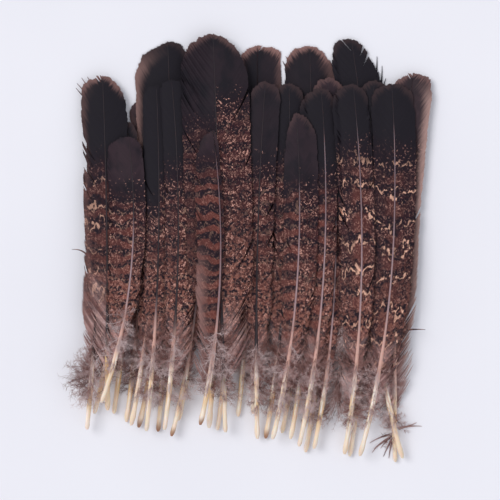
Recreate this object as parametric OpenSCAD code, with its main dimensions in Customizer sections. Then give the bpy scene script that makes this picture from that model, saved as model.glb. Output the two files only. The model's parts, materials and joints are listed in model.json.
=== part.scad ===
// A loose bunch of barred quills, laid side by side and over each other on a table.
// Millimetres. +Z is up, the tips point along +Y and the bare barrels along -Y.
// The origin is the middle of the bunch, on the surface that it lies on.

/* [Shaft] */
// Thickness of the bare barrel
barrel_d = 4; // [3.6:0.1:4.2]
// Thickness of the shaft at the tip
tip_d = 0.9; // [0.8:0.1:1.2]
// Part of the length, from the tip, where the shaft reaches its full thickness
thick_part = 0.8; // [0.76:0.01:0.84]

/* [Vanes] */
// Thickness of a vane at its edge
vane_t = 0.7; // [0.6:0.1:0.8]
// Part of the length, from the tip, along which the vanes keep their full width
full_part = 0.6; // [0.55:0.01:0.65]
// Part of the length, from the tip, where the vanes end and the bare barrel starts
vane_part = 0.82; // [0.8:0.01:0.84]

/* [Bunch] */
// Rise of the arch of a feather that lies alone on the table
arch_h = 4; // [2:1:8]
// Air between a feather and the ones that it lies on
air = 0.4; // [0.4:0.1:0.6]
// Tightest bend of a shaft that lies over others
bend_r = 260; // [240:20:400]

/* [Hidden] */
// One line for each feather, in the order that they are laid down. A line holds the name, the
// tip [x, y], the barrel's end [x, y], how far the middle bows towards +X, and the widths of the
// vanes on the -X and +X sides of the shaft. It ends with true for a feather that is turned
// over, with its vanes under the shaft's ridge.
FEATHERS = [
    ["back_feather_1", [-83, 108], [-94, -126], 2, 9, 13, true],
    ["back_feather_2", [-64, 150], [-71, -133], 3, 25, 17],
    ["back_feather_3", [1, 147], [-2, -120], 0, 15, 17, true],
    ["back_feather_4", [39, 147], [19, -134], 2, 19, 18],
    ["back_feather_5", [69, 152], [68, -151], 12, 17, 19],
    ["back_feather_6", [52, 124], [36, -148], 3, 12, 13],
    ["back_feather_7", [114, 127], [101, -155], -10, 15, 16, true],
    ["inner_feather_1", [-93, 92], [-103, -120], 2, 9, 7],
    ["inner_feather_2", [-66, 105], [-85, -130], 3, 9, 7],
    ["inner_feather_3", [-42, 90], [-56, -125], 3, 9, 7],
    ["inner_feather_4", [-16, 100], [-28, -132], 2, 9, 7],
    ["inner_feather_5", [38, 85], [25, -138], 3, 9, 7],
    ["inner_feather_6", [70, 95], [58, -106], 3, 9, 7],
    ["inner_feather_7", [-100, 62], [-117, -120], 2, 9, 7],
    ["inner_feather_8", [-74, 95], [-90, -128], 2, 9, 7],
    ["inner_feather_9", [-44, 100], [-61, -136], 6, 9, 7],
    ["inner_feather_10", [-28, 110], [-34, -130], 2, 9, 7],
    ["inner_feather_11", [-6, 90], [-13, -122], 2, 9, 7],
    ["inner_feather_12", [56, 80], [42, -145], 3, 9, 7],
    ["middle_feather_1", [-112, 100], [-122, -131], 0, 11, 13],
    ["middle_feather_2", [-72, 118], [-79, -132], 3, 11, 12],
    ["middle_feather_3", [-61, 122], [-66, -131], 6, 10, 16],
    ["middle_feather_4", [24, 120], [7, -138], 1, 12, 10],
    ["middle_feather_5", [7, 121], [1, -138], -5, 10, 12],
    ["middle_feather_6", [86, 122], [106, -152], -8, 12, 12],
    ["middle_feather_7", [98, 119], [75, -150], 4, 16, 16],
    ["front_feather_1", [-111, 125], [-107, -117], 3, 17, 17],
    ["front_feather_2", [-92, 81], [-111, -111], 6, 18, 9],
    ["front_feather_3", [-31, 155], [-22, -133], 3, 25, 25],
    ["front_feather_4", [-31, 85], [-40, -127], 7, 18, 3, true],
    ["front_feather_5", [47, 116], [31, -143], 5, 17, 9],
    ["front_feather_6", [29, 98], [12, -138], 4, 12, 14],
    ["front_feather_7", [70, 119], [64, -149], 7, 17, 10],
];

// The heights are worked out on rows across the bunch, one row_gap apart.
row_gap = 12;
row_start = -162;
ROWS = [for (k = [0 : 27]) row_start + k * row_gap];
side_air = 0.5;

function smooth(t) = let(c = max(0, min(1, t))) c * c * (3 - 2 * c);

// How far along feather f the line y lies: 0 at the tip, 1 at the end of the barrel.
function along(f, y) = max(0, min(1, (f[1].y - y) / (f[1].y - f[2].y)));
// The shaft's place across the bunch. It hooks towards the barrel's end and bows in between.
function shaft_x(f, y) = let(u = along(f, y))
    f[1].x + (f[2].x - f[1].x) * pow(u, 2.4) + f[3] * 4 * u * (1 - u);
function shaft_h(f, y) =
    tip_d + (barrel_d - tip_d) * min(1, along(f, y) / thick_part);
// The vane on one side: a round tip, a full stretch, and a taper down to the barrel.
function vane_w(f, y, full) = let(
    u = along(f, y),
    round_part = 1.1 * full / (f[1].y - f[2].y),
    tip = sqrt(1 - pow(1 - min(1, u / round_part), 2)),
    tail = 1 - smooth((u - full_part) / (vane_part - full_part)))
    max(shaft_h(f, y) / 2, full * tip * tail);

// Height of a vane's underside on the shaft.
function seat(f, y) = f[6] ? 0 : (shaft_h(f, y) - vane_t) * 0.75;
// A feather arches with its upper side out, so one that is turned over lies flat.
function arched(f, y) = let(u = (f[1].y - y) / (f[1].y - f[2].y)) f[6] ? 0 : arch_h * 4 * u * (1 - u);

function lies_at(f, y) = y > f[2].y - row_gap && y < f[1].y + row_gap;
// How far across the bunch feather f reaches on the rows next to y: its whole width if the
// widths of its vanes are given, or else its shaft alone.
function reach(f, y, left = 0, right = 0) = let(near = [y - row_gap, y, y + row_gap])
    !lies_at(f, y) ? [1000, -1000] : [
    min([for (s = near) shaft_x(f, s) - vane_w(f, s, left)]) - side_air,
    max([for (s = near) shaft_x(f, s) + vane_w(f, s, right)]) + side_air];
VANES = [for (f = FEATHERS) [for (y = ROWS) reach(f, y, f[4], f[5])]];
SHAFTS = [for (f = FEATHERS) [for (y = ROWS) reach(f, y)]];
function meet(a, b) = a[0] < b[1] && b[0] < a[1];

// How far feather i has to lie above feather j on row k.
function step(i, j, k) = let(
    upper = seat(FEATHERS[i], ROWS[k]),
    lower = seat(FEATHERS[j], ROWS[k]) + vane_t,
    thick = shaft_h(FEATHERS[j], ROWS[k]))
    air + max([
        meet(VANES[i][k], VANES[j][k]) ? lower - upper : -1000,
        meet(VANES[i][k], SHAFTS[j][k]) ? thick - upper : -1000,
        meet(SHAFTS[i][k], VANES[j][k]) ? lower : -1000,
        meet(SHAFTS[i][k], SHAFTS[j][k]) ? thick : -1000]);
// The underside of feather i on each row, on top of the feathers laid before it.
function support(i, laid) = let(f = FEATHERS[i]) [for (k = [0 : len(ROWS) - 1])
    max([arched(f, ROWS[k]),
        for (j = [0 : 1 : i - 1]) laid[j][k] + step(i, j, k)])];
// A shaft is stiff, so it bridges the hollows between its high points.
function bridged(s) = [for (k = [0 : len(s) - 1])
    max([for (m = [0 : len(s) - 1]) s[m] - pow((k - m) * row_gap, 2) / (2 * bend_r)])];
function lay(laid = []) = len(laid) == len(FEATHERS) ? laid
    : lay(concat(laid, [bridged(support(len(laid), laid))]));
HEIGHTS = lay();
function height(i, y) = let(k = floor((y - row_start) / row_gap), t = (y - ROWS[k]) / row_gap)
    max(0, HEIGHTS[i][k] * (1 - t) + HEIGHTS[i][k + 1] * t);

// One slice across feather i: a vane on each side of the shaft, with the shaft's ridge between.
function slice(i, y, size = 1) = let(
    f = FEATHERS[i],
    x = shaft_x(f, y),
    z = height(i, y),
    h = shaft_h(f, y),
    r = h / 2,
    left = vane_w(f, y, f[4]),
    right = vane_w(f, y, f[5]),
    edge = seat(f, y),
    top = edge + vane_t,
    foot = top + 0.1 * (h - top))
    [for (p = [[-left, top], [-left, edge], [-r, edge], [-0.4 * r, 0], [0.4 * r, 0], [r, edge],
               [right, edge], [right, top], [0.8 * r, foot], [0.4 * r, h], [-0.4 * r, h],
               [-0.8 * r, foot]])
        [x + p.x * size, y, z + h / 2 + (p.y - h / 2) * size]];

module feather(i) {
    f = FEATHERS[i];
    stops = concat([f[1].y, f[1].y - 1.5, f[1].y - 5],
        [for (k = [len(ROWS) - 1 : -1 : 0]) if (ROWS[k] < f[1].y - 8 && ROWS[k] > f[2].y + 4) ROWS[k]],
        [f[2].y + 2, f[2].y]);
    rings = [for (y = stops) slice(i, y, y == f[2].y ? 0.6 : 1)];
    n = len(rings[0]);
    last = len(rings) - 1;
    polyhedron(
        [for (ring = rings) each ring],
        concat([[for (j = [0 : n - 1]) j]],
            [for (s = [0 : last - 1], j = [0 : n - 1]) let(a = s * n + j, b = s * n + (j + 1) % n)
                each [[a + n, b + n, b], [a + n, b, a]]],
            [[for (j = [n - 1 : -1 : 0]) last * n + j]]));
}

for (i = [0 : len(FEATHERS) - 1])
    color("saddlebrown") feather(i);
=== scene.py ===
"""A loose bunch of barred quills: every feather's shaft, vanes and down, built around its CAD solid.

Lengths are in millimetres until a mesh is made. A feather lies along Y with its tip towards +Y.
"along" is the distance from the tip, and "across" is the distance from the shaft.
"""

import json
import math
from functools import cache
from types import SimpleNamespace

import bpy
import numpy as np
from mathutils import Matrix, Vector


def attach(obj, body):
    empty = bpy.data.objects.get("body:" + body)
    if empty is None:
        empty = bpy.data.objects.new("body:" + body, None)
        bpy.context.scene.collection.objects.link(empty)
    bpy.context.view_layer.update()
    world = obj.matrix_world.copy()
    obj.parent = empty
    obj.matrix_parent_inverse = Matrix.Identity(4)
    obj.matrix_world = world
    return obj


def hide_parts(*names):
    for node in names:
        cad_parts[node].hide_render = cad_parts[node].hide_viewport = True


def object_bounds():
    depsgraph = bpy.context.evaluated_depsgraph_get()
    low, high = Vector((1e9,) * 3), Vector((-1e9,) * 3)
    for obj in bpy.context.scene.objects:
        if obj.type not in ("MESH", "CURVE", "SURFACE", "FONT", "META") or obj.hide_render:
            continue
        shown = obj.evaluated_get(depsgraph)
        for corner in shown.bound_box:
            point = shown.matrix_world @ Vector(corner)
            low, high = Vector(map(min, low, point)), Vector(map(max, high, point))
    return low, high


MM = 0.001
SIDES = (-1, 1)

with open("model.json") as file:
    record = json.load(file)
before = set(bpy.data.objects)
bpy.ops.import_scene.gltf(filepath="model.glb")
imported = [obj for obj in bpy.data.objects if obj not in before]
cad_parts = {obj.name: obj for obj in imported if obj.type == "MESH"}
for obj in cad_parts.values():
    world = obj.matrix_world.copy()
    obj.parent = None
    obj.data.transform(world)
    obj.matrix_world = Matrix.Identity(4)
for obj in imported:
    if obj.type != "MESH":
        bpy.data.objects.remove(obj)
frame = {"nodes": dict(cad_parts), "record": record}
cad_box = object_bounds()
scene = bpy.context.scene


# ---- How each feather looks. A pair holds the -X vane's value and then the +X vane's. ----

PLAIN = {
    "cap": (42, 42),  # length of the dark cap, mm
    "bars": (0.5, 0.5),  # strength of the reddish bars
    "bar_edge": 0.8,  # share of it that is left at the vane's edge
    "period": 12,  # from one bar to the next, mm
    "specks": (0.8, 0.8),  # strength of the fine worm-like flecks
    "tan": (0.15, 0.15),  # strength of the pale blotches along the bars
    "edge": (0.0, 0.0),  # strength of the brown outer edge
    "edge_width": 6,  # its width, mm
    "edge_from": 4,  # where it starts, mm from the tip
    "rim": 0.12,  # strength of the brown rim at the tip
    "warm": 0.0,  # how far the dark cap turns brown
    "low": (0.64, 0.82),  # where the lower vane turns to brown fluff, as shares of the length
    "grey": 0.0,  # how far the vane turns grey, like an underside
    "pale": 0.0,  # how far the brown edge turns pinkish tan
    "blunt": (2.0, 2.0),  # roundness of the tip: 2 is an ellipse, and more is squarer
    "run": (1.1, 1.1),  # length of the round tip, as a share of the vane's width
    "wide": (1.0, 1.0),  # the vane's width, as a share of the CAD's
    "dark_shaft": 40,  # length of the shaft's dark part, mm
    "splits": (2, 2),  # number of small gaps between the barbs, at random places
    "tears": (),  # wide gaps: (side, mm from the tip, share of the width where it starts, width in mm)
    "loose": (),  # loose barbs: (side, mm from the tip, mm across, length, heading, turn), degrees from +Y
    "folds": (0.0, 0.0),  # depth of the ripples near the tip, mm
    "amber": 0.1,  # how yellow the barrel is
    "down": (1.0, 1.0),  # amount of down
    "tufts": (),  # more down: (side, mm above the barrel's end, heading, spread, strands, length, tone)
}
LOOKS = {
    "front_feather_1": {
        "cap": (50, 62), "bars": (0.4, 0.5), "period": 16, "specks": (0.4, 0.2), "tan": (0.6, 0.1),
        "rim": 0.7, "edge": (0.3, 0), "splits": (3, 0), "amber": 0.8, "blunt": (3, 2), "run": (0.8, 1.6),
        "dark_shaft": 185, "low": (0.56, 0.76), "down": (0, 1),
        "tears": ((-1, 4, 0.3, 1.6), (-1, 7, 0.4, 2.2), (-1, 88, 0.4, 5)),
        "loose": (
            (-1, 14, 8, 13, -30, -6), (-1, 17, 10, 13, -36, -8), (-1, 19, 11, 12, -46, 6),
            (-1, 10, 7, 9, -24, -6),
            (-1, 104, 13, 22, -8, 8), (-1, 112, 14, 24, -12, 12), (-1, 132, 13, 13, -35, -60),
            (-1, 158, 14, 18, -6, -4),
        ),
    },
    "front_feather_2": {
        "cap": (26, 26), "bars": (0.7, 0.2), "period": 9.5, "specks": (0.9, 1), "tan": (0.4, 0.1),
        "rim": 0, "warm": 0.9, "down": (0.8, 0.5), "splits": (1, 1), "run": (0.8, 1.2), "dark_shaft": 55,
    },
    "front_feather_3": {
        "cap": (50, 34), "bars": (0.3, 0.3), "specks": (0.45, 1), "tan": (0.1, 0.1), "warm": 0.4, "rim": 0.35,
        "blunt": (1.6, 2), "run": (0.45, 1.6), "splits": (2, 3), "folds": (0.6, 0), "dark_shaft": 236,
    },
    "front_feather_4": {
        "cap": (8, 6), "bars": (0.8, 0.3), "period": 10, "specks": (0.3, 0.2), "tan": (0.15, 0.1),
        "edge": (0.9, 0), "edge_width": 11, "edge_from": 74, "rim": 0.05, "warm": 0.9, "splits": (2, 0),
        "run": (2.6, 3), "dark_shaft": 10, "bar_edge": 0.9,
    },
    "front_feather_5": {"cap": (50, 50), "bars": (0.7, 0.3), "specks": (0.5, 1), "dark_shaft": 25},
    "front_feather_6": {
        "cap": (38, 38), "bars": (0.7, 0.3), "specks": (0.5, 1), "rim": 0.15, "warm": 0.6, "run": (5, 1.6),
        "dark_shaft": 45,
    },
    "front_feather_7": {
        "cap": (36, 36), "bars": (0.55, 0.45), "specks": (0.6, 0.8), "tan": (1, 1), "rim": 0.1,
        "run": (0.8, 1.2), "dark_shaft": 22, "period": 19.5, "bar_edge": 0.25,
    },
    "middle_feather_1": {
        "cap": (34, 34), "bars": (0.6, 0.6), "specks": (0.3, 0.3), "edge": (0.3, 0), "splits": (5, 2),
        "down": (0.2, 1), "dark_shaft": 170, "low": (0.5, 0.7),
        "tufts": (
            (-1, 37, -90, 6, 26, 22.5, 0.15), (-1, 41, -76, 10, 22, 18, 0.2), (-1, 33, -106, 8, 22, 17, 0.15),
            (-1, 46, -58, 14, 14, 14, 0.4), (-1, 29, -132, 14, 18, 13, 0.35), (-1, 44, -100, 20, 20, 10, 0.2),
        ),
    },
    "middle_feather_2": {"cap": (74, 56), "bars": (0.3, 0.3), "rim": 0, "dark_shaft": 150},
    "middle_feather_3": {
        "cap": (52, 52), "specks": (0.9, 1), "tan": (0.1, 0.3), "bars": (0.2, 0.3), "rim": 0,
        "dark_shaft": 170,
    },
    "middle_feather_4": {"cap": (44, 44), "bars": (0.4, 0.4), "specks": (0.7, 0.7), "dark_shaft": 185},
    "middle_feather_5": {
        "cap": (48, 48), "bars": (0.4, 0.4), "specks": (0.7, 0.9), "warm": 0.3, "dark_shaft": 190,
    },
    "middle_feather_6": {
        "cap": (44, 44), "specks": (0.7, 0.7), "tan": (0.4, 0.4), "down": (1, 0.3), "dark_shaft": 200,
    },
    "middle_feather_7": {
        "cap": (36, 36), "bars": (0.35, 0.35), "specks": (0.5, 0.6), "tan": (1, 1), "splits": (1, 1),
        "blunt": (2.6, 3), "run": (0.9, 0.9), "dark_shaft": 22, "period": 21, "bar_edge": 0.25,
        "down": (1, 0.4),
        "loose": (
            (1, 196, 11, 17, 14, 16), (1, 203, 10, 16, 22, 18), (1, 211, 9, 15, 30, 12),
            (1, 178, 14, 13, 84, 10),
        ),
    },
    "inner_feather_6": {
        "dark_shaft": 400, "down": (1, 1.4),
        "tufts": (
            (-1, 6, -172, 12, 26, 26, 0.3), (1, 4, 174, 10, 26, 28, 0.25), (1, 12, 165, 14, 26, 26, 0.35),
            (-1, 18, -160, 24, 26, 24, 0.3), (1, 32, 165, 26, 26, 22, 0.4), (-1, 44, -165, 26, 24, 20, 0.45),
            (1, 54, 40, 50, 30, 18, 0.35), (-1, 54, -40, 50, 30, 18, 0.3), (1, 66, 100, 60, 24, 14, 0.3),
            (-1, 48, -110, 40, 40, 15, 0.3), (-1, 38, -80, 50, 30, 14, 0.35),
        ),
    },
    "inner_feather_7": {"down": (0, 1)},
    "back_feather_1": {"cap": (20, 20), "edge": (0.4, 0), "warm": 0.8},
    "back_feather_2": {
        "cap": (90, 90), "edge": (0.7, 0), "edge_width": 6.5, "pale": 0.15, "rim": 0.1,
        "blunt": (1.15, 3), "run": (0.36, 0.25), "splits": (2, 1),
    },
    "back_feather_3": {
        "cap": (90, 90), "edge": (0.2, 0.3), "rim": 1, "warm": 0.3, "splits": (1, 3), "run": (1.1, 1),
        "blunt": (2, 2.8), "wide": (1, 1.6), "tears": ((1, 5, 0.25, 2.5),),
    },
    "back_feather_4": {
        "cap": (90, 90), "rim": 0.9, "warm": 0.2, "edge": (0, 0.4), "splits": (4, 1), "run": (1.1, 1.4),
        "blunt": (2.6, 2),
        "loose": ((-1, 16, 14, 8, -20, -10), (-1, 20, 15, 9, -35, 10)),
    },
    "back_feather_5": {
        "cap": (120, 120), "rim": 0.1, "splits": (1, 4), "folds": (0.15, 0), "run": (0.5, 2.2),
        "blunt": (2.8, 1.8),
        "tears": ((1, 18, 0.5, 1.6), (1, 27, 0.5, 2.4), (-1, 10, 0.15, 0.5)),
        "loose": ((1, 30, 14, 15, 4, -4), (1, 38, 16, 16, 8, -8), (1, 42, 16, 12, 12, 6)),
    },
    "back_feather_6": {"cap": (60, 60), "warm": 0.8, "rim": 0.3},
    "back_feather_7": {
        "cap": (26, 34), "bars": (0.2, 0.1), "specks": (0.4, 0.6), "tan": (0.1, 0.3), "grey": 0.1,
        "edge": (0, 0.9), "edge_width": 7, "rim": 0.6, "warm": 1, "pale": 0.5, "splits": (1, 2),
        "dark_shaft": 4, "down": (1, 0.3),
        "run": (1, 0.7), "blunt": (2.2, 2.6), "tears": ((-1, 2, 0.2, 1.6), (-1, 6, 0.3, 1.4)),
        "loose": (
            (-1, 262, 1, 16, -100, -22), (-1, 263, 1, 15, -118, -14), (-1, 264, 1, 17, -112, -30),
            (-1, 262, 1, 12, -134, -10), (-1, 264, 1, 14, -150, -8), (-1, 265, 1, 13, -162, -12),
            (1, 258, 1, 14, 84, -20), (1, 259, 1, 17, 70, 24), (1, 262, 1, 11, 160, 10),
        ),
        "tufts": ((-1, 19, -140, 26, 8, 9, 0.1), (1, 26, 92, 14, 4, 13, 0.35), (1, 60, 60, 20, 6, 9, 0.3)),
    },
}


def looks(name):
    """Every value of one feather's look."""
    return {**PLAIN, **LOOKS.get(name, {})}


def pick(pair, side):
    """The pair's value for the vane on that side."""
    return pair[0] if side < 0 else pair[1]


# ---- Curves and smooth random runs ----


def curve(at, values):
    """A smooth curve through the points (at, values), as a function that takes arrays."""
    slopes = np.gradient(values, at)

    def value(y):
        y = np.clip(y, at[0], at[-1])
        k = np.clip(np.searchsorted(at, y, side="right") - 1, 0, len(at) - 2)
        gap = at[k + 1] - at[k]
        t = (y - at[k]) / gap
        ease = t * t * (3 - 2 * t)
        bend = slopes[k] * (t**3 - 2 * t * t + t) + slopes[k + 1] * (t**3 - t * t)
        return values[k] * (1 - ease) + values[k + 1] * ease + gap * bend

    return value


def smooth(t):
    t = np.clip(t, 0, 1)
    return t * t * (3 - 2 * t)


def wander(rng, count, step):
    """count numbers from -1 to 1 that change smoothly, with a new random one every step."""
    knots = rng.uniform(-1, 1, int(count / step) + 3)
    at = np.arange(count) / step
    k = at.astype(int)
    t = smooth(at - k)
    return knots[k] * (1 - t) + knots[k + 1] * t


# ---- The feathers as the CAD has them ----

# Places along a feather are shares of its length, from the tip.
VANE_END = 0.88
TAIL_FROM, TAIL_STRETCH = 0.6, 0.8  # the vanes narrow from here on, more slowly than the CAD's
SKIRT, SKIRT_END = 0.9, 0.84  # the loose lowest barbs' share of the full width, and where they end
SKIRT_NARROW, SKIRT_NARROW_FROM = 0.45, 0.76  # how much of the skirt's width is lost, and from where on
SAME_ROW, SAME_LEVEL = 0.1, 0.03  # CAD points this close are in one row or level, mm
TURNED_BELOW = 0.6  # a feather is turned over if its vanes lie this near to its underside, mm


class Feather:
    """One CAD feather: its shaft, its vanes' widths and its heights, as curves over y."""

    def __init__(self, name, node, body, index):
        self.name, self.body, self.index = name, body, index
        self.look = looks(name)
        self.hidden = name.startswith("inner")
        points = np.array([v.co for v in node.data.vertices]) / MM
        at = np.unique(points[:, 1].round(1))
        rows = [points[abs(points[:, 1] - y) < SAME_ROW] for y in at]
        self.end, self.tip = at[0], at[-1]
        self.length = self.tip - self.end
        bottom = np.array([r[:, 2].min() for r in rows])
        top = np.array([r[:, 2].max() for r in rows])
        middle = np.array([r[r[:, 2] > r[:, 2].max() - SAME_LEVEL][:, 0].mean() for r in rows])
        vane = np.array([r[r[:, 0] < r[:, 0].min() + SAME_LEVEL][:, 2].mean() for r in rows])
        self.x = curve(at, middle)
        level = curve(at, bottom)
        self.bottom = lambda y: np.maximum(0, level(y))
        self.height, self.vane_z = curve(at, top - bottom), curve(at, vane)
        self.turned = vane[len(at) // 2] - bottom[len(at) // 2] < TURNED_BELOW
        reach = {-1: middle - [r[:, 0].min() for r in rows], 1: [r[:, 0].max() for r in rows] - middle}
        self.full = {side: reach[side].max() for side in SIDES}
        self.reach = {side: curve(at, np.array(reach[side])) for side in SIDES}

    def width(self, side, y):
        """The vane's width, with a round tip in place of the CAD's few corners."""
        run = self.full[side] * pick(self.look["run"], side)
        blunt = pick(self.look["blunt"], side)
        share = np.clip((self.tip - y) / run, 0, 1)
        tip = (1 - (1 - share) ** blunt) ** (1 / blunt)
        tail = np.maximum(0, self.tip - TAIL_FROM * self.length - y)
        width = self.reach[side](np.minimum(y + (1 - TAIL_STRETCH) * tail, self.tip - run)) * tip
        width = width * pick(self.look["wide"], side)
        u = (self.tip - y) / self.length
        skirt = smooth((u - TAIL_FROM) / 0.1) * (1 - smooth((u - SKIRT_END) / 0.03))
        skirt = skirt * (1 - SKIRT_NARROW * smooth((u - SKIRT_NARROW_FROM) / 0.08))
        return np.maximum(width, SKIRT * self.full[side] * skirt)


# ---- What lies under and over each feather, on a grid across the bunch ----

CELL = 1.5
MARGIN = 24  # how far the grid goes on past the CAD
GRID_X = np.arange(cad_box[0].x / MM - MARGIN, cad_box[1].x / MM + MARGIN, CELL)
GRID_Y = np.arange(cad_box[0].y / MM - MARGIN, cad_box[1].y / MM + MARGIN, CELL)
HALF_VANE = 0.35  # half of the CAD vane's thickness
NOTHING_ABOVE = 1000.0


def spread(field, choose):
    """Each cell takes what choose picks from itself and its eight neighbours."""
    for axis in (0, 1):
        field = choose(field, choose(np.roll(field, 1, axis), np.roll(field, -1, axis)))
    return field


def layers(feather):
    """(top, bottom) of one CAD feather on the grid; where it isn't, 0 and NOTHING_ABOVE."""
    y = GRID_Y[:, None]
    across = GRID_X[None, :] - feather.x(y)
    inside = (y > feather.end - CELL) & (y < feather.tip + CELL)
    on_vane = inside & (across > -feather.reach[-1](y)) & (across < feather.reach[1](y))
    on_shaft = inside & (abs(across) < feather.height(y) / 2 + CELL / 2)
    top = np.where(on_vane, feather.vane_z(y) + HALF_VANE, 0)
    top = np.where(on_shaft, feather.bottom(y) + feather.height(y), top)
    bottom = np.where(on_vane, feather.vane_z(y) - HALF_VANE, NOTHING_ABOVE)
    bottom = np.where(on_shaft, feather.bottom(y), bottom)
    return spread(top, np.maximum), spread(bottom, np.minimum)


def look_up(field, x, y):
    """The field's value in the cells that hold the points x, y."""
    column = np.clip(((x - GRID_X[0]) / CELL).round().astype(int), 0, len(GRID_X) - 1)
    row = np.clip(((y - GRID_Y[0]) / CELL).round().astype(int), 0, len(GRID_Y) - 1)
    return field[row, column]


def stack(feathers):
    """Gives each feather .floor, the top of those laid before it, and .ceiling, the rest's underside."""
    tops, bottoms = zip(*[layers(f) for f in feathers])
    nothing = np.zeros_like(tops[0])
    for i, feather in enumerate(feathers):
        feather.floor = np.max([nothing, *tops[:i]], axis=0)
        feather.ceiling = np.min([nothing + NOTHING_ABOVE, *bottoms[i + 1:]], axis=0)


# ---- Meshes ----

SHARP_ANGLE = 50  # degrees; edges that turn by more are sharp


def mesh_piece(name, feather, points, faces, attributes, material):
    """A smooth mesh piece that rides with its feather. faces is a list of arrays, one row a face."""
    mesh = bpy.data.meshes.new(name)
    mesh.vertices.add(len(points))
    mesh.vertices.foreach_set("co", (points * MM).astype(np.float32).ravel())
    sizes = np.concatenate([np.full(len(f), f.shape[1]) for f in faces])
    mesh.loops.add(int(sizes.sum()))
    mesh.loops.foreach_set("vertex_index", np.concatenate([f.ravel() for f in faces]).astype(np.int32))
    mesh.polygons.add(len(sizes))
    mesh.polygons.foreach_set("loop_start", np.concatenate([[0], np.cumsum(sizes)[:-1]]).astype(np.int32))
    mesh.update(calc_edges=True)
    mesh.validate()
    for key, values in attributes.items():
        kind, field = ("FLOAT_VECTOR", "vector") if values.ndim == 2 else ("FLOAT", "value")
        mesh.attributes.new(key, kind, "POINT").data.foreach_set(field, values.astype(np.float32).ravel())
    mesh.shade_smooth()
    mesh.set_sharp_from_angle(angle=math.radians(SHARP_ANGLE))
    mesh.materials.append(material)
    piece = bpy.data.objects.new(name, mesh)
    scene.collection.objects.link(piece)
    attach(piece, feather.body)
    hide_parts(feather.name)


def thicken(points, quads, thickness):
    """Closes a sheet's top face with a bottom and walls."""
    count = len(points)
    edges = np.concatenate([quads[:, [k, (k + 1) % 4]] for k in range(4)])
    code = edges[:, 0] * count + edges[:, 1]
    back = edges[:, 1] * count + edges[:, 0]
    rim = edges[~np.isin(code, back)]
    walls = np.stack([rim[:, 1], rim[:, 0], rim[:, 0] + count, rim[:, 1] + count], axis=1)
    under = points - [0, 0, thickness]
    return np.concatenate([points, under]), [quads, quads[:, ::-1] + count, walls]


def ribbons(paths, widths):
    """Tapered three-sided strands along paths[strand, point], half as thick as they are wide."""
    strands, stops = paths.shape[:2]
    ahead = np.gradient(paths, axis=1)
    side = np.stack([ahead[..., 1], -ahead[..., 0], np.zeros((strands, stops))], axis=-1)
    side /= np.linalg.norm(side, axis=-1, keepdims=True) + 1e-9
    half = widths[..., None] / 2
    rings = np.stack([paths - side * half, paths + [0, 0, 1] * half, paths + side * half], axis=2)
    index = np.arange(strands * stops * 3).reshape(strands, stops, 3)
    sides = [
        np.stack([index[:, :-1, c], index[:, 1:, c], index[:, 1:, c - 2], index[:, :-1, c - 2]], axis=-1)
        for c in range(3)
    ]
    ends = np.concatenate([index[:, 0, ::-1], index[:, -1]])
    return rings.reshape(-1, 3), [np.concatenate([s.reshape(-1, 4) for s in sides]), ends]


# ---- The vanes ----

BARB_GAP = 1.2  # along the shaft, from one barb to the next; each barb has a row beside it
BARB_LEAN = 1.1  # how far a barb runs towards the tip for each mm across, where it leaves the shaft
BARB_CURVE = 0.45  # how much further it leans by the vane's edge
BARB_RIDGE = 0.07  # height of a barb over the row beside it
BARB_STOPS, HIDDEN_STOPS = 12, 8  # points along a barb, in a feather that shows and in a hidden one
FIRST_BARB = 0.4  # from the tip to the root of the first barb
SHEET = 0.22  # thickness of a vane
CLEAR = 0.3  # between a vane and what lies under it
DROOP = 0.15  # how far a vane's edge hangs below the shaft, as a share of its width
FRAY_SECOND = (0.3, 1.8)  # how much shorter every second barb is at the tip, and added by the end
FRAY_NOTCH = (0.6, 2.5)  # depth of the notches in the edge, likewise
FRAY_FINE = 0.5
CLUMP_SHIFT, CLUMP_LIFT = 0.5, 0.06  # how far a clump of barbs moves along the shaft and up
SPLIT_PLACE = (0.3, 0.8)  # where a small gap may lie, as shares of the vane's rows
SPLIT_START = (0.35, 0.75)  # how far across it may start
SPLIT_WIDE = (0.8, 2.6)
SPLIT_SPREAD = (8, 20)  # how many rows beside a gap it pushes away
SPLIT_BACK = 0.7  # its push on the barbs below, as a share of that above
SPLIT_DRAW = 0.25  # how far a pushed barb draws in, as a share of the push
SLITS = 0.45  # share of the loose barbs that are free from the next one
SLIT_START = (0.25, 0.8)  # how far across they come free
FOLD_GAP = 7  # from one fold near the tip to the next
FOLDS_END, FOLDS_FADE = 45, 30  # how far from the tip the folds start to fade, and over what length
LOOSE_FROM, LOOSE_FADE = 0.67, 0.12  # where the barbs come apart, and how gradually, as shares
LOOSE_STOPS = 8
LOOSE_WIDTH = (1.4, 0.3)  # width of a loose barb at its root and at its tip
LOOSE_SAG = 2  # how far a loose barb hangs below its vane at its root


def barb_run(across, full):
    """How far towards the tip a barb has run by that distance from the shaft."""
    return BARB_LEAN * across + BARB_CURVE * across * across / full


def barb_lengths(feather, side, roots):
    """How far across each barb reaches before it meets the vane's outline."""
    low, high = np.zeros(len(roots)), np.full(len(roots), feather.full[side] * 1.05)
    for _ in range(30):
        middle = (low + high) / 2
        inside = middle < feather.width(side, roots + barb_run(middle, feather.full[side]))
        low, high = np.where(inside, middle, low), np.where(inside, high, middle)
    return low


def vane_height(feather, side, across, x, y):
    """The vane droops from its shaft until it rests on what lies below. A turned vane stays flat."""
    level = feather.vane_z(y)
    if feather.turned:
        return level
    share = across / feather.full[side]
    sunk = level - DROOP * feather.full[side] * share**1.8
    rest = look_up(feather.floor, x, y) + CLEAR + SHEET
    return np.minimum(level, np.maximum(sunk, rest))


def loose_share(feather, roots):
    """0 where the barbs hold together, and 1 in the loose lowest part of the vane."""
    return smooth(((feather.tip - roots) / feather.length - LOOSE_FROM) / LOOSE_FADE)


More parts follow.
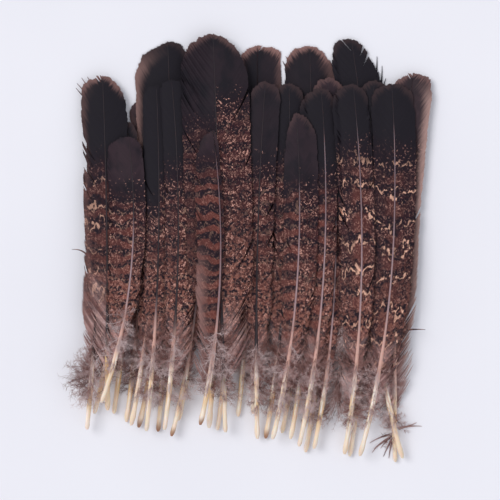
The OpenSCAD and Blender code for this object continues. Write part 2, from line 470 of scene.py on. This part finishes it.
def gaps(feather, side, rng, roots):
    """Where this vane's barbs have come apart: (row, share of the width, width in mm) for each gap."""
    found = []
    count = len(roots)
    for _ in range(pick(feather.look["splits"], side)):
        row = int(rng.uniform(*SPLIT_PLACE) * count)
        found.append((row, rng.uniform(*SPLIT_START), rng.uniform(*SPLIT_WIDE)))
    for hand, along, share, wide in feather.look["tears"]:
        if hand == side:
            found.append((int(np.argmin(abs(feather.tip - along - roots))), share, wide))
    slits = rng.uniform(0, 1, count) < SLITS * loose_share(feather, roots)
    return found + [(row, rng.uniform(*SLIT_START), 0) for row in np.flatnonzero(slits[:-1])]


def split_offsets(rng, count, found, shares):
    """Shifts of the barbs along the shaft that open the gaps."""
    shift = np.zeros((count, len(shares)))
    rows = np.arange(count)
    for row, start, wide in (gap for gap in found if gap[2]):
        away = np.where(rows <= row, 1, -SPLIT_BACK) * np.exp(-abs(rows - row) / rng.uniform(*SPLIT_SPREAD))
        shift += wide * away[:, None] * smooth((shares - start) / (1 - start))[None, :]
    return shift


def frayed(feather, rng, roots, lengths):
    """The barbs' lengths with an uneven edge, which is more ragged towards the barrel."""
    count = len(roots)
    low = smooth((feather.tip - roots) / (VANE_END * feather.length) * 1.6 - 0.6)
    second, notch = [tip + more * low for tip, more in (FRAY_SECOND, FRAY_NOTCH)]
    fray = np.where(np.arange(count) % 2, second, 0) + FRAY_FINE * abs(wander(rng, count, 3))
    fray += notch * np.maximum(0, wander(rng, count, 9))
    fray += 0.5 * loose_share(feather, roots) * rng.uniform(0, 1, count) ** 2 * lengths
    return np.maximum(lengths - fray, 0.3 * lengths)


def relief(feather, side, roots, along_y, shares):
    """Height of the folds near the tip, and of the barbs' ridges."""
    rows = np.arange(len(roots))[:, None]
    near_tip = 1 - smooth((feather.tip - along_y - FOLDS_END) / FOLDS_FADE)
    fold = pick(feather.look["folds"], side) * np.sin((roots[0] - roots[:, None]) * 2 * math.pi / FOLD_GAP)
    return fold * near_tip * smooth(shares * 2) - BARB_RIDGE * (rows % 2) * np.minimum(1, shares * 6)


def grid_quads(side, shape, found, shares):
    """The faces between neighbouring barbs, facing up, without those in the gaps."""
    index = np.arange(shape[0] * shape[1]).reshape(shape)
    quads = np.stack([index[:-1, :-1], index[1:, :-1], index[1:, 1:], index[:-1, 1:]], axis=-1)
    keep = np.ones(quads.shape[:2], bool)
    for row, start, _ in found:
        keep[row, shares[:-1] >= start] = False
    return quads[keep] if side > 0 else quads[keep][:, ::-1]


def half_vane(feather, side, rng):
    """One vane as a grid of barbs: (points, quads, attributes)."""
    gap = BARB_GAP * (2 if feather.hidden else 1)
    count = 2 * int(VANE_END * feather.length / gap)
    roots = feather.tip - FIRST_BARB - np.arange(count) * gap / 2
    shares = np.linspace(0, 1, HIDDEN_STOPS if feather.hidden else BARB_STOPS)
    lengths = frayed(feather, rng, roots, barb_lengths(feather, side, roots))
    across = lengths[:, None] * shares
    along_y = roots[:, None] + barb_run(across, feather.full[side])
    root = feather.tip - roots[:, None] + 0 * across
    barb = np.stack([side * across, feather.tip - along_y, root], axis=-1)
    found = gaps(feather, side, rng, roots)
    shift = split_offsets(rng, count, found, shares)
    clump = wander(rng, count, 7)[:, None] * shares**2
    along_y = along_y + shift * (across / feather.full[side]) + CLUMP_SHIFT * clump
    x = feather.x(along_y) + side * (across - SPLIT_DRAW * abs(shift) * shares)
    z = vane_height(feather, side, across, x, along_y) + SHEET / 2
    z = z + relief(feather, side, roots, along_y, shares) + CLUMP_LIFT * clump
    points = np.stack([x, along_y, z], axis=-1).reshape(-1, 3)
    rim = (1 - shares) * lengths[:, None]
    attributes = {"barb": barb.reshape(-1, 3), "rim": rim.ravel()}
    return points, grid_quads(side, across.shape, found, shares), attributes


def loose_barbs(feather):
    """Single barbs that have come out of the vane: (points, faces, attributes)."""
    paths = []
    q = np.linspace(0, 1, LOOSE_STOPS)
    for side, along, across, length, heading, turn in feather.look["loose"]:
        angle = np.radians(heading + turn * q)
        step = length / (LOOSE_STOPS - 1)
        y = feather.tip - along + np.cumsum(np.cos(angle) * step)
        x = feather.x(feather.tip - along) + side * across + np.cumsum(np.sin(angle) * step)
        z = np.maximum(look_up(feather.floor, x, y) + CLEAR, feather.vane_z(y) - LOOSE_SAG * (1 + q))
        paths.append(np.stack([x, y, np.minimum(z, feather.vane_z(y))], axis=-1))
    widths = np.tile(np.linspace(*LOOSE_WIDTH, LOOSE_STOPS), (len(paths), 1))
    points, faces = ribbons(np.array(paths), widths)
    along = feather.tip - points[:, 1]
    barb = np.stack([points[:, 0] - feather.x(points[:, 1]), along, along], axis=-1)
    return points, faces, {"barb": barb, "rim": np.ones(len(points))}


def add_vanes(feather, rng):
    """Both vanes as closed sheets, and the loose barbs."""
    left, right = [half_vane(feather, side, rng) for side in SIDES]
    points = np.concatenate([left[0], right[0]])
    quads = np.concatenate([left[1], right[1] + len(left[0])])
    points, faces = thicken(points, quads, SHEET)
    attributes = {key: np.concatenate([left[2][key], right[2][key]] * 2) for key in left[2]}
    if feather.look["loose"]:
        more, strands, values = loose_barbs(feather)
        faces = faces + [f + len(points) for f in strands]
        points = np.concatenate([points, more])
        attributes = {key: np.concatenate([attributes[key], values[key]]) for key in attributes}
    mesh_piece(feather.name + "_vane", feather, points, faces, attributes, vane_material(feather))


# ---- The shafts ----

SHAFT_RING = 12
# Places of the rings, which lie closest at the barrel's end
SHAFT_STOPS = np.concatenate(
    [np.linspace(0, 0.84, 64), np.linspace(0.85, 0.985, 16), [0.99, 0.994, 0.997, 1]]
)
RACHIS_WIDE, RACHIS_TALL = 0.46, 0.8  # size of the rachis, as shares of the CAD shaft's height
BARREL_SIZE = 0.98  # size of the barrel, likewise
BARREL_FROM, BARREL_FADE = 0.6, 0.25  # where the barrel starts, and how gradually
BARREL_TAPER, BARREL_RIM = 0.2, 0.2  # how much the barrel and its rim narrow
SHAFT_TIP = 0.35  # thickness of the very tip, as a share of the CAD's
SQUARE, GROOVE, RIPPLE = 0.14, 0.35, 0.02  # depth of the rachis's corners and groove, and of ripples
MOUTH = 0.45  # width of the hole in a barrel's end, as a share of the barrel
MOUTH_DEPTH = 2.5


def shaft_profile(feather):
    """(barrel, width, height) at each stop. barrel is 0 in the rachis and 1 in the round barrel."""
    stops = SHAFT_STOPS
    barrel = smooth((stops - BARREL_FROM) / BARREL_FADE)
    end = np.sqrt(np.clip((1 - stops) / 0.005, 0, 1)) * BARREL_RIM + (1 - BARREL_RIM)
    taper = np.where(stops > 0.9, end, 1) * (1 - BARREL_TAPER * smooth((stops - 0.85) / 0.14))
    size = feather.height(feather.tip - stops * feather.length)
    size = size * np.minimum(1, SHAFT_TIP + stops * 12) * taper
    wide = size * (RACHIS_WIDE + (BARREL_SIZE - RACHIS_WIDE) * barrel)
    tall = size * (RACHIS_TALL + (BARREL_SIZE - RACHIS_TALL) * barrel)
    return barrel, wide, tall


def shaft_rings(feather, rng, turn):
    """The points of the shaft's rings, as an array [stop, turn, xyz]."""
    barrel, wide, tall = shaft_profile(feather)
    rachis = (1 - barrel)[:, None]
    square = 1 + SQUARE * rachis * np.cos(4 * turn + math.pi)
    beneath = np.isclose(np.sin(turn), 1 if feather.turned else -1)
    groove = 1 - GROOVE * rachis * beneath
    ripple = 1 + RIPPLE * np.stack([wander(rng, len(SHAFT_STOPS), 5) for _ in turn], axis=1)
    y = feather.tip - SHAFT_STOPS * feather.length
    x = feather.x(y)[:, None] + np.cos(turn) * wide[:, None] / 2 * square * ripple
    middle = feather.bottom(y) + feather.height(y) * 0.5
    z = middle[:, None] + np.sin(turn) * tall[:, None] / 2 * square * groove * ripple
    return np.stack([x, y[:, None] + 0 * x, z], axis=-1)


def add_shaft(feather, rng):
    """A rachis with flat sides and a groove beneath, which turns into a round barrel with a mouth."""
    turn = np.arange(SHAFT_RING) / SHAFT_RING * 2 * math.pi
    points = shaft_rings(feather, rng, turn)
    end = feather.end
    centre = np.array([feather.x(end), end, feather.bottom(end) + feather.height(end) * 0.5])
    mouth = centre + (points[-1] - centre) * MOUTH
    points = np.concatenate([points.reshape(-1, 3), mouth, mouth + [0, MOUTH_DEPTH, 0]])
    place = np.concatenate([SHAFT_STOPS, [1.0, 1.05]])  # the last two are the mouth's rim and floor
    rings = len(place)
    index = np.arange(rings * SHAFT_RING).reshape(rings, SHAFT_RING)
    after = np.roll(index, -1, axis=1)
    quads = np.stack([index[:-1], index[1:], after[1:], after[:-1]], axis=-1).reshape(-1, 4)
    shaft = np.stack([np.repeat(place, SHAFT_RING), np.tile(turn, rings), points[:, 1]], axis=-1)
    mesh_piece(
        feather.name + "_shaft", feather, points, [quads, index[:1], index[-1:, ::-1]],
        {"shaft": shaft}, shaft_material(feather),
    )


# ---- The down ----

DOWN_HIGH, DOWN_LOW = 68, 24  # where the down starts and ends, mm above the barrel's end
DOWN_OVER = 0.3  # share of the strands that hang over the shaft
OVER_HEADINGS = (130, 200)  # of those strands, degrees from +Y
DOWN_STOPS = 7
DOWN_CURL = 1.6  # how far a strand may turn, in radians
DOWN_SCATTER = 2.5  # how far from its tuft's place a strand may start
DOWN_WIDTH, DOWN_TAPER = 0.28, 0.2  # a strand's width at its root, and how much it loses
DOWN_CLEAR = 0.4  # between the down and the shaft or feather beside it
TUFTS, HIDDEN_TUFTS = 8, 3  # on each side of a feather that shows, and of a hidden one
TUFT_SPREAD, TUFT_STRANDS = 26, 7  # how far a tuft spreads to each side, in degrees, and its strands
BARBULES = 9  # short strands on each side of a strand
BARBULE_WIDTHS = (0.13, 0.11, 0.04)
PALE_TUFTS = 0.3  # share of the tufts that are pale
PALE_TONES, DARK_TONES = (0.6, 0.95), (0.05, 0.5)


def down_tufts(feather, rng):
    """Every tuft of down, written as in the look's tufts."""
    found = []
    for side in SIDES:
        count = int((HIDDEN_TUFTS if feather.hidden else TUFTS) * pick(feather.look["down"], side) + 0.5)
        for k in range(count):
            share = (k + rng.uniform(0, 1)) / count
            place = DOWN_HIGH + (DOWN_LOW - DOWN_HIGH) * share
            heading = side * (rng.uniform(20, 85) + 55 * share)
            tone = rng.uniform(*(PALE_TONES if k and rng.uniform() < PALE_TUFTS else DARK_TONES))
            length = rng.uniform(9, 19) * (1 - 0.3 * share)
            found.append((side, place, heading, TUFT_SPREAD, TUFT_STRANDS, length, tone))
    return found + list(feather.look["tufts"])


def down_paths(feather, rng):
    """Curling strands that leave the shaft below the vanes, and how light each one is."""
    paths, tones = [], []
    q = np.linspace(0, 1, DOWN_STOPS)
    for side, place, heading, spread, count, length, tone in down_tufts(feather, rng):
        y0 = feather.end + place + rng.uniform(-DOWN_SCATTER, DOWN_SCATTER, (count, 1))
        start = np.radians(heading + rng.uniform(-spread, spread, (count, 1)))
        over = rng.uniform(0, 1, (count, 1)) < DOWN_OVER
        start = np.where(over, side * np.radians(rng.uniform(*OVER_HEADINGS, (count, 1))), start)
        base = np.where(over, feather.bottom(y0) + feather.height(y0) + DOWN_CLEAR, feather.vane_z(y0))
        angle = start + rng.uniform(-DOWN_CURL, DOWN_CURL, (count, 1)) * q
        step = length * rng.uniform(0.6, 1.15, (count, 1)) / (DOWN_STOPS - 1) * np.minimum(1, q * DOWN_STOPS)
        x = feather.x(y0) + 0.3 * side + np.cumsum(np.sin(angle) * step, axis=1)
        y = y0 + np.cumsum(np.cos(angle) * step, axis=1)
        z = base + rng.uniform(-0.5, 2.2, (count, 1)) * q + 0.3 * np.sin(q * 9 + start * 5)
        low, high = look_up(feather.floor, x, y) + CLEAR, look_up(feather.ceiling, x, y) - DOWN_CLEAR
        z = np.minimum(np.maximum(z, low), np.maximum(high, feather.vane_z(y0)))
        paths.append(np.stack([x, y, z], axis=-1))
        tones.append(tone + rng.uniform(-0.12, 0.12, count) + 0.4 * over[:, 0])
    return np.concatenate(paths), np.concatenate(tones)


def barbules(paths, hand, rng):
    """One short strand from a random place on each path, to the side that hand says."""
    rows = np.arange(len(paths))
    spot = rng.uniform(0.15, 0.95, len(paths)) * (DOWN_STOPS - 1)
    k = spot.astype(int)
    a, b = paths[rows, k], paths[rows, k + 1]
    root = a + (b - a) * (spot - k)[:, None]
    ahead = (b - a) / (np.linalg.norm(b - a, axis=1, keepdims=True) + 1e-9)
    out = np.stack([-ahead[:, 1], ahead[:, 0], 0 * ahead[:, 0]], axis=1) * hand
    tip = root + (out * 0.8 + ahead * 0.7 + [0, 0, 0.15]) * rng.uniform(1.2, 3.0, len(paths))[:, None]
    return np.stack([root, (root + tip) / 2 + ahead * 0.2, tip], axis=1), spot / (DOWN_STOPS - 1)


def add_down(feather, rng):
    """All the strands of down and their barbules."""
    paths, tones = down_paths(feather, rng)
    q = np.linspace(0, 1, DOWN_STOPS)
    widths = (DOWN_WIDTH - DOWN_TAPER * q)[None, :] * rng.uniform(0.7, 1.3, (len(paths), 1))
    # Strands and barbules get darker towards their roots: painted shade deep in the fluff, added to each
    # tuft's own tone
    sprigs = [(paths, widths, tones[:, None] + 0.2 * q[None, :])]
    for hand in SIDES * BARBULES:
        short, spot = barbules(paths, hand, rng)
        thin = np.tile(BARBULE_WIDTHS, (len(paths), 1))
        sprigs.append((short, thin, (tones + 0.2 * spot + 0.05)[:, None] + np.array([[0, 0.06, 0.12]])))
    points, quads, triangles, tones = [], [], [], []
    count = 0
    for path, width, tone in sprigs:
        more, (sides, ends) = ribbons(path, width)
        points.append(more)
        quads.append(sides + count)
        triangles.append(ends + count)
        tones.append(np.repeat(tone.ravel(), 3))
        count += len(more)
    mesh_piece(
        feather.name + "_down", feather, np.concatenate(points),
        [np.concatenate(quads), np.concatenate(triangles)], {"tone": np.concatenate(tones)}, down_material(),
    )


# ---- Materials ----


def srgb(*levels):
    """An sRGB colour in 0 to 255, as the linear colour that a shader takes."""
    parts = [v / 255 for v in levels]
    return tuple(v / 12.92 if v < 0.0404 else ((v + 0.055) / 1.055) ** 2.4 for v in parts) + (1.0,)


class Shader:
    """One material's nodes, written as short calls that return sockets."""

    def __init__(self, name):
        self.material = bpy.data.materials.new(name)
        self.material.use_nodes = True
        self.tree = self.material.node_tree
        self.surface = self.tree.nodes["Principled BSDF"]

    def node(self, kind, inputs, output=0, **settings):
        node = self.tree.nodes.new(kind)
        for key, value in settings.items():
            setattr(node, key, value)
        for key, value in inputs.items():
            self.feed(node.inputs[key], value)
        return node.outputs[output]

    def feed(self, socket, value):
        if isinstance(value, bpy.types.NodeSocket):
            self.tree.links.new(value, socket)
        else:
            socket.default_value = value

    def math(self, operation, a, b=0.0):
        return self.node("ShaderNodeMath", {0: a, 1: b}, operation=operation)

    def times(self, value, *others):
        for other in others:
            value = self.math("MULTIPLY", value, other)
        return value

    def plus(self, value, *others):
        for other in others:
            value = self.math("ADD", value, other)
        return value

    def rise(self, value, low, high):
        """0 below low, 1 above high, and smooth between. With low above high it falls."""
        return self.node(
            "ShaderNodeMapRange", {0: value, 1: low, 2: high, 3: 0.0, 4: 1.0}, interpolation_type="SMOOTHSTEP"
        )

    def between(self, share, a, b):
        """a where share is 0 and b where it is 1."""
        return self.plus(a, self.times(share, b - a))

    def mix(self, share, a, b):
        return self.node("ShaderNodeMix", {0: share, 6: a, 7: b}, output=2, data_type="RGBA")

    def at(self, x, y, z):
        return self.node("ShaderNodeCombineXYZ", {0: x, 1: y, 2: z})

    def noise(self, x, y, seed, detail=2.0, distortion=0.0):
        """Noise from 0 to 1 over x and y, each given as a value and its scale."""
        place = self.at(self.times(*x), self.times(*y), seed)
        return self.node(
            "ShaderNodeTexNoise",
            {"Vector": place, "Scale": 1.0, "Detail": detail, "Distortion": distortion},
        )

    def centred(self, noise):
        """A noise that runs around 0."""
        return self.math("SUBTRACT", noise, 0.5)

    def tint(self, colour, tone):
        """The colour times the factor tone."""
        return self.node(
            "ShaderNodeMix", {0: 1.0, 6: colour, 7: self.at(tone, tone, tone)},
            output=2, data_type="RGBA", blend_type="MULTIPLY",
        )

    def number(self, attribute):
        """An attribute that holds one number."""
        return self.node("ShaderNodeAttribute", {}, output=2, attribute_name=attribute)

    def parts(self, attribute):
        """The three numbers of a vector attribute."""
        vector = self.node("ShaderNodeAttribute", {}, output=1, attribute_name=attribute)
        split = self.tree.nodes.new("ShaderNodeSeparateXYZ")
        self.feed(split.inputs[0], vector)
        return split.outputs[:]

    def finish(self, colour, roughness, bump, depth, **constants):
        """Feeds the surface, with a bump of that depth in mm, and gives the material."""
        for key, value in constants.items():
            self.surface.inputs[key.replace("_", " ")].default_value = value
        self.feed(self.surface.inputs["Base Color"], colour)
        self.feed(self.surface.inputs["Roughness"], roughness)
        normal = self.node("ShaderNodeBump", {"Strength": 0.6, "Distance": depth * MM, "Height": bump})
        self.feed(self.surface.inputs["Normal"], normal)
        return self.material


CAP = srgb(30, 27, 34)
CAP_BROWN = srgb(54, 41, 48)
DARK_BAR = srgb(31, 22, 31)
RED_BAR = srgb(104, 57, 51)
RED_GROUND = srgb(72, 37, 39)
FLECK = srgb(208, 156, 142)
BLOTCH = srgb(216, 168, 146)
EDGE_BROWN = srgb(138, 104, 100)
EDGE_PALE = srgb(204, 172, 164)
LOW_BROWN = srgb(122, 89, 88)
LOW_PALE = srgb(202, 168, 165)
GOLDEN = srgb(142, 92, 80)
UNDERSIDE = srgb(112, 90, 92)


def vane_fields(s, feather):
    """What a vane's marks are worked out from, at each point of it."""
    look, seed = feather.look, feather.index * 7.3
    v = SimpleNamespace(seed=seed, rim=s.number("rim"))
    v.across, v.along, root = s.parts("barb")
    v.right = s.rise(v.across, -0.5, 0.5)
    v.streak = s.noise((root, 1.5), (v.across, 0.09), seed + 1.7, detail=1.5)
    v.clump = s.noise((root, 0.22), (v.across, 0.05), seed + 2.9)
    v.teeth = s.noise((root, 1.3), (v.across, 0.3), seed + 4.1, detail=1.0)
    v.drift = s.noise((v.across, 0.09), (v.along, 0.06), seed)
    v.patches = s.rise(s.noise((v.across, 0.14), (v.along, 0.05), seed + 8.3), 0.38, 0.6)
    v.place = s.plus(v.along, s.times(s.centred(v.drift), 1.3 * look["period"]))
    v.past = s.math("SUBTRACT", v.place, s.between(v.right, *look["cap"]))
    v.below_cap = s.rise(v.past, -8.0, 34.0)
    v.settled = s.rise(v.past, 8.0, 44.0)
    phase = s.plus(v.place, s.times(s.centred(v.teeth), 0.16 * look["period"]))
    v.turn = s.times(phase, 2 * math.pi / look["period"])
    v.bar = s.rise(s.math("SINE", v.turn), -0.2, 0.5)
    return v


def barred(s, v, feather):
    """Reddish bars on the dark ground, strongest beside the shaft, with reddish dust over both."""
    look = feather.look
    near = s.between(s.rise(s.math("ABSOLUTE", v.across), 3.0, 9.0), 1.15, look["bar_edge"])
    red = s.times(v.bar, near, v.settled, s.between(v.right, *look["bars"]))
    colour = s.mix(red, DARK_BAR, RED_BAR)
    ground = s.noise((v.across, 0.5), (v.along, 0.45), v.seed + 6.1)
    dusty = s.times(s.rise(ground, 0.42, 0.62), v.settled, s.between(v.right, *look["specks"]))
    down_vane = s.rise(v.along, feather.length * 0.35, feather.length * 0.66)
    dust = s.mix(down_vane, RED_GROUND, GOLDEN)
    return s.mix(s.times(dusty, s.between(down_vane, 0.5, 0.8)), colour, dust)


def flecks(s, v, look):
    """Strength of the short worm-like marks, about 2 mm long, that get denser away from the cap."""
    seed = v.seed + 5.3
    amount = s.times(v.below_cap, s.between(v.bar, 0.75, 1.2))
    field = s.noise((v.across, 0.66), (v.along, 0.52), seed, detail=1.0, distortion=0.9)
    worms = s.rise(s.math("ABSOLUTE", s.centred(field)), 0.07, 0.02)
    pieces = s.noise((v.across, 0.7), (v.along, 0.6), seed + 3.3, detail=0.0)
    bright = s.rise(s.noise((v.across, 0.4), (v.along, 0.4), seed + 9.7), 0.4, 0.62)
    dense = s.times(s.rise(s.plus(pieces, s.times(amount, 0.3)), 0.74, 0.84), s.rise(amount, 0.0, 0.08))
    marks = s.times(worms, s.between(bright, 0.2, 1.1), dense)
    return s.times(marks, s.between(v.right, *look["specks"]), s.between(v.patches, 0.5, 1.0))


def blotches(s, v, look):
    """Strength of the pale toothed squiggles that run across the vane, one to a bar."""
    ripple = s.noise((v.across, 0.3), (v.along, 0.12), v.seed + 3.7, detail=1.0)
    line = s.math("SINE", s.plus(v.turn, -0.9, s.times(ripple, 7.0)))
    line = s.rise(s.plus(line, s.times(v.teeth, 0.3)), 1.05, 1.1)
    gaps = s.noise((v.across, 0.25), (v.along, 0.22), v.seed + 9.9, detail=1.0)
    blotch = s.times(line, s.rise(gaps, 0.42, 0.52), s.between(v.patches, 0.5, 1.0))
    return s.times(blotch, s.rise(v.past, 12.0, 28.0), s.between(v.right, *look["tan"]))


def worn_edges(s, v, look, colour):
    """The colour with the brown outer edge and the brown rim at the tip."""
    worn = s.plus(v.rim, s.times(s.centred(v.streak), 7.0))
    edge = s.times(s.rise(worn, look["edge_width"], 0.5), s.between(v.right, *look["edge"]))
    edge = s.times(edge, s.rise(v.along, look["edge_from"], 1.4 * look["edge_from"] + 18))
    colour = s.mix(edge, colour, s.mix(look["pale"], EDGE_BROWN, EDGE_PALE))
    tip = s.times(s.rise(worn, 3.0, 0.5), s.rise(v.along, 20.0, 6.0), look["rim"])
    return s.mix(tip, colour, EDGE_BROWN)


def vane_material(feather):
    """Dark cap, then reddish bars, fine flecks and pale toothed blotches, fading to grey-brown."""
    s = Shader(feather.name + "_vane")
    look, v = feather.look, vane_fields(s, feather)
    marks = flecks(s, v, look)
    colour = s.mix(marks, barred(s, v, feather), FLECK)
    colour = s.mix(blotches(s, v, look), colour, BLOTCH)
    low = s.rise(v.place, *[feather.length * share for share in look["low"]])
    fluff = s.mix(s.rise(v.clump, 0.35, 0.65), LOW_BROWN, LOW_PALE)
    colour = s.mix(s.times(low, 0.62), colour, fluff)
    cap_colour = s.mix(s.times(s.rise(v.drift, 0.3, 0.6), look["warm"]), CAP, CAP_BROWN)
    cap = s.times(s.rise(v.below_cap, 0.8, 0.0), s.math("SUBTRACT", 1.0, marks))
    colour = worn_edges(s, v, look, s.mix(cap, colour, cap_colour))
    colour = s.mix(look["grey"], colour, UNDERSIDE)
    streaks = s.times(v.streak, s.between(v.below_cap, 0.4, 1.5))
    tone = s.plus(streaks, s.times(v.clump, 0.3), s.between(v.below_cap, 0.65, 0.1))
    roughness = s.plus(s.times(v.clump, 0.25), 0.55)
    return s.finish(s.tint(colour, tone), roughness, v.streak, 0.12, Specular_IOR_Level=0.12)


SHAFT_GREY = srgb(130, 108, 114)
SHAFT_MAUVE = srgb(162, 136, 140)
SHAFT_TAN = srgb(204, 160, 148)
SHAFT_DARK = srgb(42, 32, 38)
# The barrel's lightest colour is a painted highlight along its top
BARREL_PAINTED_HIGHLIGHT = srgb(255, 250, 244)
BARREL_SIDE = srgb(248, 226, 200)
BARREL_END = srgb(246, 234, 220)
PITH = srgb(214, 178, 152)
AMBER = srgb(226, 186, 128)
DEEP_AMBER = srgb(230, 184, 112)
STAIN = srgb(150, 100, 70)
# Painted shade down inside the barrel's mouth
MOUTH_PAINTED_SHADE = srgb(70, 44, 34)
STAINED_EACH, STAINED_FIRST = 7, 1  # every seventh barrel has a stained end


def shaft_material(feather):
    """Grey-mauve at the tip, pinkish tan in the middle, then cream and amber in the barrel, with a painted
    highlight along its top and painted shade in its mouth.
    """
    s = Shader(feather.name + "_shaft")
    seed = feather.index * 3.1
    place, turn, y = s.parts("shaft")
    flow = s.noise((y, 0.05), (turn, 0.8), seed)
    grain = s.noise((y, 0.25), (turn, 3.0), seed + 2, detail=3)
    shift = s.plus(place, s.times(s.centred(flow), 0.08))
    colour = s.mix(s.rise(shift, 0.3, 0.55), SHAFT_GREY, SHAFT_MAUVE)
    colour = s.mix(s.rise(shift, 0.58, 0.74), colour, SHAFT_TAN)
    pith = s.rise(s.noise((y, 0.07), (turn, 1.3), seed + 5, detail=3), 0.42, 0.6)
    # Painted highlight along the barrel's top, fading to the colour of its sides
    barrel = s.mix(s.rise(s.math("SINE", turn), 0.9, 0.1), BARREL_PAINTED_HIGHLIGHT, BARREL_SIDE)
    barrel = s.mix(s.times(pith, 0.75), barrel, PITH)
    colour = s.mix(s.rise(shift, 0.76, 0.86), colour, barrel)
    amber = s.rise(s.plus(flow, s.times(grain, 0.3)), 0.52, 0.76)
    colour = s.mix(s.times(s.rise(shift, 0.82, 0.9), 0.85, amber), colour, AMBER)
    colour = s.mix(s.times(s.rise(shift, 0.78, 0.86), feather.look["amber"]), colour, DEEP_AMBER)
    colour = s.mix(s.times(s.rise(place, 0.88, 0.97), 0.55), colour, BARREL_END)
    stain = 0.9 if feather.index % STAINED_EACH == STAINED_FIRST else 0.1
    colour = s.mix(s.times(s.rise(place, 0.965, 0.995), stain), colour, STAIN)
    # Painted shade down in the barrel's mouth
    colour = s.mix(s.rise(place, 1.0, 1.04), colour, MOUTH_PAINTED_SHADE)
    dark = feather.look["dark_shaft"] / feather.length
    colour = s.mix(s.rise(shift, dark, dark + 0.1), SHAFT_DARK, colour)
    roughness = s.plus(s.times(grain, 0.2), s.between(s.rise(place, 0.6, 0.8), 0.5, 0.25))
    return s.finish(
        colour, roughness, grain, 0.1, Specular_IOR_Level=0.35, Subsurface_Weight=0.15, Subsurface_Scale=0.002
    )


DOWN_DARK = srgb(58, 36, 36)
DOWN_BROWN = srgb(142, 100, 94)
DOWN_PALE = srgb(204, 184, 184)


@cache
def down_material():
    """Grey-mauve fluff with brown and pale strands, darker at their roots as painted shade, shared by all
    feathers.
    """
    s = Shader("down")
    tone = s.number("tone")
    colour = s.mix(s.rise(tone, 0.0, 0.6), DOWN_DARK, DOWN_BROWN)
    colour = s.mix(s.rise(tone, 0.4, 1.1), colour, DOWN_PALE)
    clump = s.noise((tone, 3.0), (0.0, 1.0), 1.0)
    roughness = s.plus(s.times(clump, 0.2), 0.7)
    return s.finish(colour, roughness, clump, 0.05, Specular_IOR_Level=0.2)


# ---- Floor, light and camera, in metres ----

FLOOR_HALF = 2.0
FLOOR_DROP = 0.0004  # keeps the floor out of the plane of the feathers' undersides
FLOOR_COOL = srgb(232, 232, 240)
FLOOR_WHITE = srgb(240, 240, 247)
VIEW_WIDTH = 0.36  # how much of the floor the picture shows
VIEW_CENTRE = (-0.0043, -0.0014)  # what the camera looks at
LENS, SENSOR = 160, 36
SKY, SKY_STRENGTH = (0.95, 0.96, 1.0, 1), 0.6


def add_stage():
    """A plain pale floor."""
    s = Shader("floor")
    spot = s.node("ShaderNodeTexCoord", {}, output=3)
    mottle = s.node("ShaderNodeTexNoise", {"Vector": spot, "Scale": 6.0, "Detail": 2.0})
    roughness = s.plus(s.times(mottle, 0.1), 0.85)
    material = s.finish(
        s.mix(mottle, FLOOR_COOL, FLOOR_WHITE), roughness, mottle, 0.2, Specular_IOR_Level=0.2
    )
    mesh = bpy.data.meshes.new("floor")
    turns = ((-1, -1), (1, -1), (1, 1), (-1, 1))
    mesh.from_pydata([(FLOOR_HALF * x, FLOOR_HALF * y, 0) for x, y in turns], [], [(0, 1, 2, 3)])
    mesh.materials.append(material)
    floor = bpy.data.objects.new("floor", mesh)
    floor.location.z = -FLOOR_DROP
    scene.collection.objects.link(floor)


def add_light(name, place, softness, strength, colour):
    """A distant soft light from the direction of place."""
    lamp = bpy.data.lights.new(name, "SUN")
    lamp.angle, lamp.energy, lamp.color = math.radians(softness), strength, colour
    light = bpy.data.objects.new(name, lamp)
    light.location = place
    light.rotation_euler = (-light.location).to_track_quat("-Z", "Y").to_euler()
    scene.collection.objects.link(light)


def add_view():
    """A camera straight above, and soft studio light, most of it from the left."""
    data = bpy.data.cameras.new("camera")
    data.lens, data.sensor_width = LENS, SENSOR
    camera = bpy.data.objects.new("camera", data)
    camera.location = (*VIEW_CENTRE, VIEW_WIDTH * LENS / SENSOR + cad_box[1].z / 2)
    scene.collection.objects.link(camera)
    scene.camera = camera
    add_light("key", place=(-0.9, 0.5, 1.3), softness=35, strength=1.5, colour=(1.0, 0.99, 0.97))
    add_light("fill", place=(0.9, -0.7, 1.2), softness=60, strength=0.3, colour=(0.95, 0.97, 1.0))
    world = bpy.data.worlds.new("studio")
    world.use_nodes = True
    world.node_tree.nodes["Background"].inputs["Color"].default_value = SKY
    world.node_tree.nodes["Background"].inputs["Strength"].default_value = SKY_STRENGTH
    scene.world = world
    scene.view_settings.view_transform = "Standard"


# ---- The whole bunch ----

LAID = ("back", "inner", "middle", "front")  # from the first laid to the last
FIRST_SEED = 100


def add_feathers():
    """Every feather of the CAD, in the order that they lie."""
    bodies = {n: body for body, ns in frame["record"]["behaviour"]["bodies"].items() for n in ns}
    order = sorted(bodies, key=lambda n: (LAID.index(n.split("_")[0]), int(n.split("_")[2])))
    feathers = [Feather(n, frame["nodes"][n], bodies[n], i) for i, n in enumerate(order)]
    stack(feathers)
    for feather in feathers:
        rng = np.random.default_rng(FIRST_SEED + feather.index)
        add_vanes(feather, rng)
        add_shaft(feather, rng)
        add_down(feather, rng)


add_stage()
add_view()
add_feathers()
bpy.context.view_layer.update()
